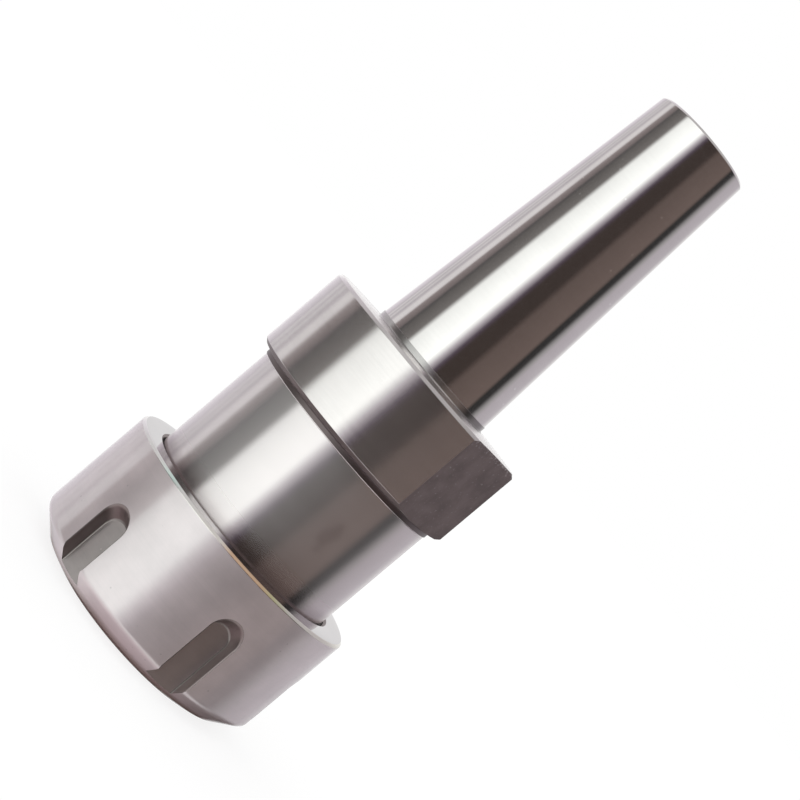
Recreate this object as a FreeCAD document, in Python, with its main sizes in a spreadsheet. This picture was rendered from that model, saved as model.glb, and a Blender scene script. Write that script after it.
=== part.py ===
import FreeCAD, Part
import math
import os
import Sketcher

# Collet chuck holder, in millimetres. It stands on the front face of its clamping nut, at height 0, with
# its axis up. Heights are measured along the axis, and radii from it.

SIZES = {
    # Collet
    "collet_setback": 0.6,
    "collet_length": 40.0,
    "collet_radius": 16.5,
    "seat_angle": 8.0,
    "flange_step": 0.7,
    "flange_width": 3.6,
    "flange_land": 0.6,
    "bevel_angle": 30.0,
    "groove_depth": 1.8,
    "groove_width": 2.9,
    "collet_bore_radius": 8.0,
    "collet_bore_chamfer": 0.5,
    "collet_rear_chamfer": 0.6,
    "slit_count": 8,
    "slit_width": 0.9,
    "front_slit_bridge": 6.0,
    "rear_slit_bridge": 9.5,
    # Running gaps of the fits
    "seat_clearance": 0.04,
    "bevel_clearance": 0.05,
    "groove_clearance": 0.15,
    # Thread between nose and nut. The thread itself is fine, and both sides are plain here
    "nose_wall": 3.5,
    "thread_depth": 0.92,
    "thread_clearance": 0.1,
    # Clamping nut, outside
    "nut_wall": 5.0,
    "nut_length": 24.6,
    "nut_cone_width": 3.6,
    "nut_cone_height": 3.15,
    "nut_lead_width": 2.0,
    "nut_lead_height": 0.85,
    "nut_rear_chamfer": 0.45,
    "nut_turned_by": -4.3,
    # Spanner slots of the nut, long and short ones in turn
    "slot_pairs": 3,
    "slot_width": 5.9,
    "slot_depth": 2.8,
    "long_slot_end": 17.65,
    "short_slot_end": 15.5,
    "slot_end_lean": 37.0,
    "slot_edge_break": 0.35,
    # Clamping nut, inside
    "mouth_chamfer": 0.4,
    "lip_thickness": 1.65,
    "lip_clearance": 0.6,
    "lip_eccentricity": 0.9,
    "relief_depth": 0.4,
    "relief_width": 3.5,
    "counterbore_gap": 0.35,
    "counterbore_depth": 2.0,
    "counterbore_chamfer": 0.4,
    # Nose of the holder, with the collet's seat and the bore behind it
    "nose_gap": 1.1,
    "nose_chamfer": 1.0,
    "seat_mouth_chamfer": 0.5,
    "seat_runout": 3.0,
    "tool_bore_step": 0.9,
    "tool_bore_depth": 12.4,
    "drill_point_angle": 59.0,
    # Ground body, and the unground ring between it and the collar
    "body_gap": 0.3,
    "body_shown": 22.9,
    "front_ring_step": 0.15,
    "front_ring_width": 0.95,
    # Collar with its two wrench flats. Its faces are slightly coned
    "collar_step": 2.1,
    "collar_length": 17.3,
    "collar_face_rise": 0.35,
    "collar_chamfer": 0.6,
    "flat_depth": 2.1,
    # Taper shank, and the unground ring at its root
    "shank_root_radius": 12.65,
    "shank_length": 57.3,
    "shank_taper": 0.05,
    "shank_end_chamfer": 0.4,
    "root_ring_step": 0.11,
    "root_ring_width": 1.1,
    # Draw-bar hole in the shank's end
    "drawbar_drill_radius": 5.1,
    "drawbar_hole_depth": 30.0,
    "centre_step": 1.4,
    "centre_angle": 30.0,
}

doc = FreeCAD.newDocument("ColletChuckHolder")

sheet = doc.addObject("Spreadsheet::Sheet", "Sizes")
for row, (alias, number) in enumerate(SIZES.items(), start=1):
    sheet.set(f"A{row}", alias)
    sheet.set(f"B{row}", str(number))
    sheet.setAlias(f"B{row}", alias)
doc.recompute()


def sized(words):
    """Turn an expression in the sheet's own names into one that a document object can hold."""
    out = []
    for word in words.replace("(", "( ").replace(")", " )").split():
        out.append(f"Sizes.{word}" if word in SIZES else word)
    return " ".join(out)


# Radii that several pieces share, all worked out from the sheet.
FLANGE_RADIUS = "collet_radius - flange_step"
GROOVE_RADIUS = f"{FLANGE_RADIUS} - groove_depth"
THREAD_RADIUS = "collet_radius + nose_wall"
CORE_RADIUS = f"{THREAD_RADIUS} - thread_depth"
NUT_BORE = f"{CORE_RADIUS} + thread_clearance"
NUT_RADIUS = f"{THREAD_RADIUS} + nut_wall"
COLLAR_RADIUS = f"{THREAD_RADIUS} + collar_step"
FLAT_DISTANCE = f"{COLLAR_RADIUS} - flat_depth"
SHANK_END_RADIUS = "shank_root_radius - shank_taper * ( shank_length - shank_end_chamfer )"
BEVEL_GAP = "bevel_clearance / cos( bevel_angle )"

# Heights that several pieces share.
FLANGE_END = "collet_setback + flange_width"
BEVEL_END = f"{FLANGE_END} - flange_land"
GROOVE_END = f"{FLANGE_END} + groove_width"
COLLET_END = "collet_setback + collet_length"
LIP_FRONT = f"{FLANGE_END} + groove_clearance"
LIP_END = f"{LIP_FRONT} + lip_thickness"
NUT_THREAD_END = "nut_length - counterbore_depth"
NOSE_FRONT = f"{GROOVE_END} + nose_gap"
SEAT_START = f"{NOSE_FRONT} + seat_mouth_chamfer"
SEAT_END = f"{COLLET_END} + seat_runout"
TOOL_BORE_END = f"{SEAT_END} + tool_bore_depth"
BODY_FRONT = f"{NUT_THREAD_END} + body_gap"
COLLAR_FRONT = "nut_length + body_shown"
COLLAR_END = f"{COLLAR_FRONT} + collar_length"
SHANK_ROOT = f"{COLLAR_END} + root_ring_width"
SHANK_END = f"{SHANK_ROOT} + shank_length"
DRAWBAR_BOTTOM = f"{SHANK_END} - drawbar_hole_depth"


def bevel_radius(height):
    """The radius of the collet's front bevel at a height."""
    return f"{FLANGE_RADIUS} - ( {BEVEL_END} - ( {height} ) ) * tan( bevel_angle )"


def taper_radius(height):
    """The radius of the collet's 8 degree taper at a height."""
    return f"collet_radius - ( ( {height} ) - ( {GROOVE_END} ) ) * tan( seat_angle )"


def seat_radius(height):
    """The radius of the holder's seat at a height: the collet's taper and its clearance."""
    return f"{taper_radius(height)} + seat_clearance / cos( seat_angle )"


def new_body(label):
    body = doc.addObject("PartDesign::Body", label)
    body.Label = label
    return body


def sketch_on(body, plane, name):
    """A sketch on one of the body's own origin planes."""
    sketch = body.newObject("Sketcher::SketchObject", name)
    face = next(one for one in body.Origin.OriginFeatures if one.Role == plane)
    sketch.AttachmentSupport = [(face, "")]
    sketch.MapMode = "FlatFace"
    return sketch


def place(sketch, geometry, end, across, up, name):
    """Tie one point of a sketch to its distances from the sketch's origin."""
    for kind, axis, words in (("DistanceX", -2, across), ("DistanceY", -1, up)):
        if words == "0":
            sketch.addConstraint(Sketcher.Constraint("PointOnObject", geometry, end, axis))
            continue
        number = sketch.evalExpression(sized(words))
        index = sketch.addConstraint(Sketcher.Constraint(kind, -1, 1, geometry, end, float(number)))
        sketch.renameConstraint(index, f"{name}_{kind[-1]}")
        sketch.setExpression(f"Constraints.{name}_{kind[-1]}", sized(words))


def outline(sketch, corners):
    """Draw a closed outline through corners, each one (name, across, up)."""
    points = []
    for corner in corners:
        across, up = (float(sketch.evalExpression(sized(words))) for words in corner[1:])
        points.append(FreeCAD.Vector(across, up, 0))
    lines = []
    for start, end in zip(points, points[1:] + points[:1]):
        lines.append(sketch.addGeometry(Part.LineSegment(start, end), False))
    for number, (name, across, up) in enumerate(corners):
        sketch.addConstraint(Sketcher.Constraint("Coincident", lines[number - 1], 2, lines[number], 1))
        place(sketch, lines[number], 1, across, up, name)


def turned(body, name, corners):
    """Turn a closed outline once round the axis."""
    sketch = sketch_on(body, "XZ_Plane", f"{name}_outline")
    outline(sketch, corners)
    turning = body.newObject("PartDesign::Revolution", name)
    turning.Profile = sketch
    turning.ReferenceAxis = (sketch, ["V_Axis"])
    turning.Angle = 360.0
    sketch.Visibility = False
    doc.recompute()
    return turning


def pocket(body, name, sketch, depth, outward):
    """Cut a sketch into the body. Outward follows the sketch's own normal."""
    cut = body.newObject("PartDesign::Pocket", name)
    cut.Profile = sketch
    cut.setExpression("Length", sized(depth))
    cut.Reversed = outward
    sketch.Visibility = False
    doc.recompute()
    return cut


def round_the_axis(body, name, cuts, copies):
    """Repeat cuts evenly round the body's own axis."""
    pattern = body.newObject("PartDesign::PolarPattern", name)
    pattern.Originals = cuts
    axis = next(one for one in body.Origin.OriginFeatures if one.Role == "Z_Axis")
    pattern.Axis = (axis, [""])
    pattern.Angle = 360.0
    pattern.setExpression("Occurrences", sized(copies))
    body.Tip = pattern
    doc.recompute()
    return pattern


def holder_body():
    """The one-piece holder: threaded nose with its seat, body, collar with wrench flats, and taper shank."""
    body = new_body("holder_body")
    ring_radius = f"{THREAD_RADIUS} + front_ring_step"
    ring_start = f"{COLLAR_FRONT} - front_ring_width"
    root_ring_radius = "shank_root_radius + root_ring_step"
    collar_edge_radius = f"{COLLAR_RADIUS} - collar_chamfer"
    tool_bore = f"{seat_radius(SEAT_END)} - tool_bore_step"
    turned(body, "holder_turning", [
        ("seat_mouth", f"{seat_radius(SEAT_START)} + seat_mouth_chamfer", NOSE_FRONT),
        ("nose_face", f"{CORE_RADIUS} - nose_chamfer", NOSE_FRONT),
        ("nose_edge", CORE_RADIUS, f"{NOSE_FRONT} + nose_chamfer"),
        ("thread_end", CORE_RADIUS, BODY_FRONT),
        ("body_face", THREAD_RADIUS, BODY_FRONT),
        ("body_end", THREAD_RADIUS, ring_start),
        ("front_ring", ring_radius, ring_start),
        ("front_ring_end", ring_radius, COLLAR_FRONT),
        ("collar_face", collar_edge_radius, f"{COLLAR_FRONT} + collar_face_rise"),
        ("collar_edge", COLLAR_RADIUS, f"{COLLAR_FRONT} + collar_face_rise + collar_chamfer"),
        ("collar_far_edge", COLLAR_RADIUS, f"{COLLAR_END} - collar_face_rise - collar_chamfer"),
        ("collar_far_face", collar_edge_radius, f"{COLLAR_END} - collar_face_rise"),
        ("root_ring", root_ring_radius, COLLAR_END),
        ("root_ring_end", root_ring_radius, SHANK_ROOT),
        ("shank_root", "shank_root_radius", SHANK_ROOT),
        ("shank_end", SHANK_END_RADIUS, f"{SHANK_END} - shank_end_chamfer"),
        ("shank_face", f"{SHANK_END_RADIUS} - shank_end_chamfer", SHANK_END),
        ("centre_mouth", "drawbar_drill_radius + centre_step", SHANK_END),
        ("centre_end", "drawbar_drill_radius", f"{SHANK_END} - centre_step / tan( centre_angle )"),
        ("drawbar_bottom", "drawbar_drill_radius", DRAWBAR_BOTTOM),
        ("drawbar_point", "0", f"{DRAWBAR_BOTTOM} - drawbar_drill_radius / tan( drill_point_angle )"),
        ("tool_bore_point", "0", f"{TOOL_BORE_END} + ( {tool_bore} ) / tan( drill_point_angle )"),
        ("tool_bore_end", tool_bore, TOOL_BORE_END),
        ("tool_bore_start", tool_bore, SEAT_END),
        ("seat_end", seat_radius(SEAT_END), SEAT_END),
        ("seat_start", seat_radius(SEAT_START), SEAT_START),
    ])

    flats = sketch_on(body, "XY_Plane", "wrench_flats_sketch")
    flats.setExpression("AttachmentOffset.Base.z", sized(COLLAR_FRONT))
    outside = f"{COLLAR_RADIUS} + 1"
    outline(flats, [
        ("right_near_low", FLAT_DISTANCE, f"-( {outside} )"),
        ("right_far_low", outside, f"-( {outside} )"),
        ("right_far_high", outside, outside),
        ("right_near_high", FLAT_DISTANCE, outside),
    ])
    outline(flats, [
        ("left_far_low", f"-( {outside} )", f"-( {outside} )"),
        ("left_near_low", f"-( {FLAT_DISTANCE} )", f"-( {outside} )"),
        ("left_near_high", f"-( {FLAT_DISTANCE} )", outside),
        ("left_far_high", f"-( {outside} )", outside),
    ])
    pocket(body, "wrench_flats", flats, "collar_length", True)
    return body


def spanner_slot(body, name, end, sign):
    """One round-ended slot down to the nut's front face, on the -Y side for sign 1 and the +Y side for -1.
    The cutter comes out on a slant, so the end wall leans outward."""
    sketch = sketch_on(body, "XZ_Plane", f"{name}_sketch")
    floor = f"{NUT_RADIUS} - slot_depth" if sign > 0 else f"slot_depth - ( {NUT_RADIUS} )"
    sketch.setExpression("AttachmentOffset.Base.z", sized(floor))
    half = float(sketch.evalExpression(sized("slot_width / 2")))
    centre_height = f"{end} - slot_depth * tan( slot_end_lean ) - slot_width / 2"
    centre = float(sketch.evalExpression(sized(centre_height)))
    low_left, low_right = FreeCAD.Vector(-half, -1, 0), FreeCAD.Vector(half, -1, 0)
    high_left, high_right = FreeCAD.Vector(-half, centre, 0), FreeCAD.Vector(half, centre, 0)
    circle = Part.Circle(FreeCAD.Vector(0, centre, 0), FreeCAD.Vector(0, 0, 1), half)
    front = sketch.addGeometry(Part.LineSegment(low_left, low_right), False)
    right = sketch.addGeometry(Part.LineSegment(low_right, high_right), False)
    round_end = sketch.addGeometry(Part.ArcOfCircle(circle, 0, math.pi), False)
    left = sketch.addGeometry(Part.LineSegment(high_left, low_left), False)
    place(sketch, front, 1, "slot_width / -2", "-1", "front_left")
    place(sketch, front, 2, "slot_width / 2", "-1", "front_right")
    place(sketch, round_end, 3, "0", centre_height, "round_end")
    sketch.addConstraint(Sketcher.Constraint("Coincident", front, 2, right, 1))
    sketch.addConstraint(Sketcher.Constraint("Coincident", left, 2, front, 1))
    sketch.addConstraint(Sketcher.Constraint("Vertical", right))
    sketch.addConstraint(Sketcher.Constraint("Tangent", right, 2, round_end, 1))
    sketch.addConstraint(Sketcher.Constraint("Tangent", round_end, 2, left, 1))
    straight = pocket(body, name, sketch, "slot_depth + 1", sign > 0)
    slanted = pocket(body, f"{name}_end", sketch, "slot_depth + 1", False)
    slanted.UseCustomVector = True
    slanted.Direction = FreeCAD.Vector(0, -sign, 0)
    slanted.setExpression("Direction.z", sized("tan( slot_end_lean )"))
    return round_the_axis(body, f"{name}s", [straight, slanted], "slot_pairs")


def break_slot_edges(body):
    """A small chamfer where the slots meet the nut's rim, found as the rim's edges that aren't full rings."""
    solid = body.Tip
    rim = float(sheet.evalExpression(sized(NUT_RADIUS)))
    names = []
    for number, edge in enumerate(solid.Shape.Edges, start=1):
        ends = [vertex.Point for vertex in edge.Vertexes]
        middle = edge.valueAt((edge.FirstParameter + edge.LastParameter) / 2)
        on_rim = all(abs(math.hypot(point.x, point.y) - rim) < 0.001 for point in ends + [middle])
        rises = edge.BoundBox.ZLength > 0.01
        if on_rim and rises:
            names.append(f"Edge{number}")
    chamfer = body.newObject("PartDesign::Chamfer", "slot_edges")
    chamfer.Base = (solid, names)
    chamfer.setExpression("Size", sized("slot_edge_break"))
    solid.Visibility = False
    body.Tip = chamfer
    doc.recompute()
    return chamfer


def clamping_nut():
    """The clamping nut: six spanner slots, inner thread, clamping cone and eccentric pull-out lip."""
    body = new_body("clamping_nut")
    cone_foot = f"{NUT_RADIUS} - nut_cone_width"
    seat = f"{bevel_radius('mouth_chamfer')} + {BEVEL_GAP}"
    land = f"{FLANGE_RADIUS} + {BEVEL_GAP}"
    lip_blank = f"{GROOVE_RADIUS} - lip_clearance"
    counterbore = f"{THREAD_RADIUS} + counterbore_gap"
    relief = f"{THREAD_RADIUS} + relief_depth"
    turned(body, "nut_turning", [
        ("mouth", f"{seat} + mouth_chamfer", "0"),
        ("face_edge", f"{cone_foot} - nut_lead_width", "0"),
        ("cone_foot", cone_foot, "nut_lead_height"),
        ("corner", NUT_RADIUS, "nut_lead_height + nut_cone_height"),
        ("rear_corner", NUT_RADIUS, "nut_length - nut_rear_chamfer"),
        ("rear_edge", f"{NUT_RADIUS} - nut_rear_chamfer", "nut_length"),
        ("counterbore_mouth", f"{counterbore} + counterbore_chamfer", "nut_length"),
        ("counterbore_edge", counterbore, "nut_length - counterbore_chamfer"),
        ("counterbore_floor", counterbore, NUT_THREAD_END),
        ("thread_end", NUT_BORE, NUT_THREAD_END),
        ("thread_start", NUT_BORE, f"{LIP_END} + relief_width"),
        ("relief_top", relief, f"{LIP_END} + relief_width"),
        ("relief_floor", relief, LIP_END),
        ("lip_back", lip_blank, LIP_END),
        ("lip_front", lip_blank, LIP_FRONT),
        ("land_back", land, LIP_FRONT),
        ("land_front", land, BEVEL_END),
        ("seat_front", seat, "mouth_chamfer"),
    ])

    lip = sketch_on(body, "XY_Plane", "lip_opening_sketch")
    lip.setExpression("AttachmentOffset.Base.z", sized(LIP_FRONT))
    opening = f"{GROOVE_RADIUS} + lip_clearance + lip_eccentricity"
    radius = float(lip.evalExpression(sized(opening)))
    middle = FreeCAD.Vector(SIZES["lip_eccentricity"], 0, 0)
    circle = lip.addGeometry(Part.Circle(middle, FreeCAD.Vector(0, 0, 1), radius), False)
    place(lip, circle, 3, "lip_eccentricity", "0", "middle")
    index = lip.addConstraint(Sketcher.Constraint("Radius", circle, radius))
    lip.renameConstraint(index, "opening")
    lip.setExpression("Constraints.opening", sized(opening))
    pocket(body, "lip_opening", lip, "lip_thickness", True)

    spanner_slot(body, "short_slot", "short_slot_end", 1)
    spanner_slot(body, "long_slot", "long_slot_end", -1)
    break_slot_edges(body)
    body.Placement = FreeCAD.Placement(FreeCAD.Vector(), FreeCAD.Rotation(FreeCAD.Vector(0, 0, 1), 0))
    body.setExpression("Placement.Rotation.Angle", sized("nut_turned_by"))
    return body


def slits(body, name, plane_height, first_turn, depth, upward):
    """A ring of radial saw slits that start at one end of the collet."""
    sketch = sketch_on(body, "XY_Plane", f"{name}_sketch")
    turn_about_axis = FreeCAD.Rotation(FreeCAD.Vector(0, 0, 1), 10)
    sketch.AttachmentOffset = FreeCAD.Placement(FreeCAD.Vector(), turn_about_axis)
    sketch.setExpression("AttachmentOffset.Base.z", sized(plane_height))
    sketch.setExpression("AttachmentOffset.Rotation.Angle", sized(first_turn))
    outline(sketch, [
        ("inner_low", "collet_bore_radius / 2", "slit_width / -2"),
        ("outer_low", "collet_radius + 1", "slit_width / -2"),
        ("outer_high", "collet_radius + 1", "slit_width / 2"),
        ("inner_high", "collet_bore_radius / 2", "slit_width / 2"),
    ])
    cut = pocket(body, name, sketch, depth, upward)
    return round_the_axis(body, f"{name}s", [cut], "slit_count")


def collet():
    """The spring collet, slit from both ends, seated in the holder's taper and the nut's cone."""
    body = new_body("collet")
    bore = "collet_bore_radius"
    taper_end = f"{COLLET_END} - collet_rear_chamfer"
    turned(body, "collet_turning", [
        ("face_bore", f"{bore} + collet_bore_chamfer", "collet_setback"),
        ("face_edge", bevel_radius("collet_setback"), "collet_setback"),
        ("bevel_end", FLANGE_RADIUS, BEVEL_END),
        ("flange_end", FLANGE_RADIUS, FLANGE_END),
        ("groove_front", GROOVE_RADIUS, FLANGE_END),
        ("groove_back", GROOVE_RADIUS, GROOVE_END),
        ("taper_start", "collet_radius", GROOVE_END),
        ("taper_end", taper_radius(taper_end), taper_end),
        ("rear_edge", f"{taper_radius(COLLET_END)} - collet_rear_chamfer", COLLET_END),
        ("rear_bore", f"{bore} + collet_bore_chamfer", COLLET_END),
        ("bore_end", bore, f"{COLLET_END} - collet_bore_chamfer"),
        ("bore_start", bore, "collet_setback + collet_bore_chamfer"),
    ])
    slits(body, "front_slit", "collet_setback", "180 / slit_count", "collet_length - front_slit_bridge", True)
    slits(body, "rear_slit", COLLET_END, "360 / slit_count", "collet_length - rear_slit_bridge", False)
    return body


pieces = [holder_body(), clamping_nut(), collet()]
doc.recompute()

for item in doc.Objects:
    if "Invalid" in item.State or "Error" in item.State:
        raise RuntimeError(f"{item.Label} did not build: {item.State}")
for piece in pieces:
    if piece.Shape.isNull() or not piece.Shape.isValid() or len(piece.Shape.Solids) != 1:
        raise RuntimeError(f"{piece.Label} is not one valid solid")

os.makedirs("parts", exist_ok=True)
for piece in pieces:
    piece.Shape.exportStep(f"parts/{piece.Label}.step")
    box = piece.Shape.BoundBox
    print(f"{piece.Label}: {piece.Shape.Volume:.1f} mm3, z {box.ZMin:.2f} to {box.ZMax:.2f}, "
          f"x {box.XLength:.2f}, y {box.YLength:.2f}, faces {len(piece.Shape.Faces)}")
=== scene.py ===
import math

import bmesh
import bpy
from mathutils import Matrix, Vector


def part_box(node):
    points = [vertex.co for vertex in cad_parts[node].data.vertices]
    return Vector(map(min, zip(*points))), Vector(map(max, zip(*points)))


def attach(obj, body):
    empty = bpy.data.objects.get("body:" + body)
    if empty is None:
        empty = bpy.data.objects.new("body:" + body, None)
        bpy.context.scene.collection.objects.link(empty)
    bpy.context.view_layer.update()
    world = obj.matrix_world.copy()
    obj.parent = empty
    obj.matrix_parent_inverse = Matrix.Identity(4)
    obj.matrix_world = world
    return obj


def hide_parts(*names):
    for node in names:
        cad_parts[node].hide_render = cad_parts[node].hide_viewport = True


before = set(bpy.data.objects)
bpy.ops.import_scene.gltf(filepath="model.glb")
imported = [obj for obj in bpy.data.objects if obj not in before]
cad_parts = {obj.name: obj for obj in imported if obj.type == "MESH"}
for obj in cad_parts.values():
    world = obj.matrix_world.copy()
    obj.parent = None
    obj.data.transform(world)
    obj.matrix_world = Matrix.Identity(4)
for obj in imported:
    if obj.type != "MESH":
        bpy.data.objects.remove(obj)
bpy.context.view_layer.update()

# Lengths below are in millimetres, and MM turns them into metres. Heights are measured along the axis
# from the nut's front face, and radii from the axis.
MM = 0.001


def reach(cad_node):
    """The foot, top and outer radius of a CAD node."""
    low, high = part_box(cad_node)
    return low.z / MM, high.z / MM, high.y / MM


NOSE_FRONT, SHANK_END, COLLAR_RADIUS = reach("holder_body")
_, NUT_LENGTH, NUT_RADIUS = reach("clamping_nut")
COLLET_FRONT, COLLET_END, COLLET_RADIUS = reach("collet")

# Thread between nose and nut, M40 x 1.5
THREAD_RADIUS = COLLET_RADIUS + 3.5
THREAD_DEPTH = 0.92
THREAD_PITCH = 1.5
THREAD_CLEARANCE = 0.1
NOSE_CORE = THREAD_RADIUS - THREAD_DEPTH
NUT_BORE = NOSE_CORE + THREAD_CLEARANCE

# Collet
FLANGE_RADIUS = COLLET_RADIUS - 0.7
GROOVE_RADIUS = FLANGE_RADIUS - 1.8
FLANGE_END = COLLET_FRONT + 3.6
BEVEL_END = FLANGE_END - 0.6
GROOVE_END = FLANGE_END + 2.9
COLLET_BORE = 8.0
COLLET_BORE_CHAMFER = 0.5
COLLET_REAR_CHAMFER = 0.6
SEAT_ANGLE = math.radians(8.0)
BEVEL_ANGLE = math.radians(30.0)
SLIT_COUNT = 8
SLIT_WIDTH = 0.9
FRONT_SLIT_END = COLLET_END - 6.0
REAR_SLIT_START = COLLET_FRONT + 9.5

# Nut
NUT_TURNED_BY = math.radians(-4.3)
NUT_FACE_EDGE = NUT_RADIUS - 5.6
NUT_CONE_FOOT = NUT_RADIUS - 3.6
NUT_LEAD_HEIGHT = 0.85
NUT_CORNER_HEIGHT = 4.0
NUT_REAR_CHAMFER = 0.45
NUT_MOUTH_CHAMFER = 0.4
NUT_THREAD_END = NUT_LENGTH - 2.0
BEVEL_GAP = 0.05
COUNTERBORE_RADIUS = THREAD_RADIUS + 0.35
COUNTERBORE_CHAMFER = 0.4
RELIEF_RADIUS = THREAD_RADIUS + 0.4
LIP_FRONT = FLANGE_END + 0.15
LIP_END = LIP_FRONT + 1.65
LIP_GAP = 0.6
LIP_STOCK = 0.6
LIP_ECCENTRICITY = 0.9
RELIEF_END = LIP_END + 3.5
SLOT_PAIRS = 3
SLOT_HALF_WIDTH = 2.95
SLOT_FLOOR = NUT_RADIUS - 2.8
SLOT_ROUNDING = 0.4
SLOT_FILLET = 0.2
SLOT_END_LEAN = math.tan(math.radians(37.0))
SLOT_END_STEPS = 24
LONG_SLOT_END = 17.65
SHORT_SLOT_END = 15.5

# Holder
SEAT_GAP = 0.04
SEAT_CHAMFER = 0.5
SEAT_END = COLLET_END + 3.0
TOOL_BORE_STEP = 0.9
TOOL_BORE_END = SEAT_END + 12.4
DRILL_POINT = math.radians(59.0)
NOSE_CHAMFER = 1.0
BODY_FRONT = NUT_THREAD_END + 0.3
NOSE_THREAD_END = BODY_FRONT - 1.0
COLLAR_FRONT = NUT_LENGTH + 22.9
RING_FRONT = COLLAR_FRONT - 0.95
RING_RADIUS = THREAD_RADIUS + 0.15
RING_ROUNDING = 0.15
COLLAR_END = COLLAR_FRONT + 17.3
COLLAR_FACE_RISE = 0.35
COLLAR_CHAMFER = 0.6
FLAT_DISTANCE = COLLAR_RADIUS - 2.1
SHANK_ROOT = COLLAR_END + 1.1
SHANK_ROOT_RADIUS = 12.65
SHANK_ROOT_STEP = 0.11
SHANK_TAPER = 0.05
SHANK_END_CHAMFER = 0.4
SHANK_END_RADIUS = SHANK_ROOT_RADIUS - SHANK_TAPER * (SHANK_END - SHANK_END_CHAMFER - SHANK_ROOT)

# Draw-bar thread in the shank's end, M12
DRAWBAR_CORE = 5.1
DRAWBAR_DEPTH = 0.95
DRAWBAR_PITCH = 1.75
DRAWBAR_BOTTOM = SHANK_END - 30.0
DRAWBAR_THREAD_START = DRAWBAR_BOTTOM + 4.0
CENTRE_STEP = 1.4
CENTRE_END = SHANK_END - CENTRE_STEP / math.tan(math.radians(30.0))

# How finely the pieces are divided, and how near points are welded
SEGMENTS = 240
ROWS_PER_PITCH = 8
ROUNDING_STEPS = 5
TREE_WELD = 0.001
WELD = 0.002
SLIVER = 0.0005
TOUCHING = 0.01
SHARP_FROM = math.radians(28.0)


def taper_radius(height):
    """The collet's 8 degree taper at a height."""
    return COLLET_RADIUS - (height - GROOVE_END) * math.tan(SEAT_ANGLE)


def seat_radius(height):
    """The holder's seat at a height: the collet's taper and a running gap."""
    return taper_radius(height) + SEAT_GAP / math.cos(SEAT_ANGLE)


def bevel_radius(height):
    """The collet's 30 degree front bevel at a height."""
    return FLANGE_RADIUS - (BEVEL_END - height) * math.tan(BEVEL_ANGLE)


def node(tree, kind, inputs=None, **settings):
    """Add a node. Its inputs are values or other nodes' outputs, by socket name or number."""
    made = tree.nodes.new(kind)
    for name, value in settings.items():
        setattr(made, name, value)
    for key, value in (inputs or {}).items():
        if isinstance(value, bpy.types.NodeSocket):
            tree.links.new(value, made.inputs[key])
        else:
            made.inputs[key].default_value = value
    return made


def maths(tree, operation, *terms, clamp=False):
    """One sum on numbers, in a material or in a geometry tree."""
    made = node(tree, "ShaderNodeMath", dict(enumerate(terms)), operation=operation, use_clamp=clamp)
    return made.outputs[0]


def vector_maths(tree, operation, *terms):
    """One sum on vectors or colours."""
    return node(tree, "ShaderNodeVectorMath", dict(enumerate(terms)), operation=operation).outputs[0]


def split(tree, vector):
    """The X, Y and Z of a vector."""
    return node(tree, "ShaderNodeSeparateXYZ", {0: vector}).outputs


def mapped(tree, value, start, end, low=0.0, high=1.0):
    """A value's way from start to end, laid out evenly from low to high."""
    return node(tree, "ShaderNodeMapRange", {
        "Value": value, "From Min": start, "From Max": end, "To Min": low, "To Max": high}).outputs[0]


def between(tree, value, start, end):
    """A smooth share from 0 to 1 as a value goes from start to end."""
    return node(tree, "ShaderNodeMapRange", {"Value": value, "From Min": start, "From Max": end},
                interpolation_type="SMOOTHSTEP").outputs[0]


def ramp(tree, value, stops):
    """A colour ramp through stops of (position, colour)."""
    made = node(tree, "ShaderNodeValToRGB", {"Fac": value})
    elements = made.color_ramp.elements
    while len(elements) < len(stops):
        elements.new(0.5)
    for element, (position, colour) in zip(elements, stops):
        element.position = position
        element.color = (*colour, 1.0)
    return made.outputs["Color"]


def blended(tree, colour, other, share):
    """A share of another colour laid over one."""
    mix = node(tree, "ShaderNodeMix", data_type="RGBA")
    tree.links.new(share, mix.inputs[0])
    tree.links.new(colour, mix.inputs[6])
    if isinstance(other, tuple):
        mix.inputs[7].default_value = (*other, 1.0)
    else:
        tree.links.new(other, mix.inputs[7])
    return mix.outputs[2]


def angle_ramp(tree, direction, stops):
    """A colour that changes round the axis, from stops of (degrees from the front, colour)."""
    parts = split(tree, direction)
    angle = maths(tree, "ARCTAN2", parts["X"], maths(tree, "MULTIPLY", parts["Y"], -1.0))
    share = maths(tree, "MULTIPLY_ADD", angle, 1.0 / math.tau, 0.5)
    return ramp(tree, share, [((degrees + 180) / 360, colour) for degrees, colour in stops])


# Geometry trees

def geometry_tree(name, sockets):
    """A geometry tree with a mesh in and out and the named inputs."""
    tree = bpy.data.node_groups.new(name, "GeometryNodeTree")
    tree.interface.new_socket("Geometry", in_out="INPUT", socket_type="NodeSocketGeometry")
    for socket_name, socket_type in sockets:
        tree.interface.new_socket(socket_name, in_out="INPUT", socket_type=f"NodeSocket{socket_type}")
    tree.interface.new_socket("Geometry", in_out="OUTPUT", socket_type="NodeSocketGeometry")
    return tree, tree.nodes.new("NodeGroupInput").outputs


def end_tree(tree, geometry, material):
    """Every tree ends in Realize Instances and Set Material."""
    whole = node(tree, "GeometryNodeRealizeInstances", {"Geometry": geometry}).outputs[0]
    finished = node(tree, "GeometryNodeSetMaterial", {"Geometry": whole, "Material": material}).outputs[0]
    node(tree, "NodeGroupOutput", {"Geometry": finished})
    return tree


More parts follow.
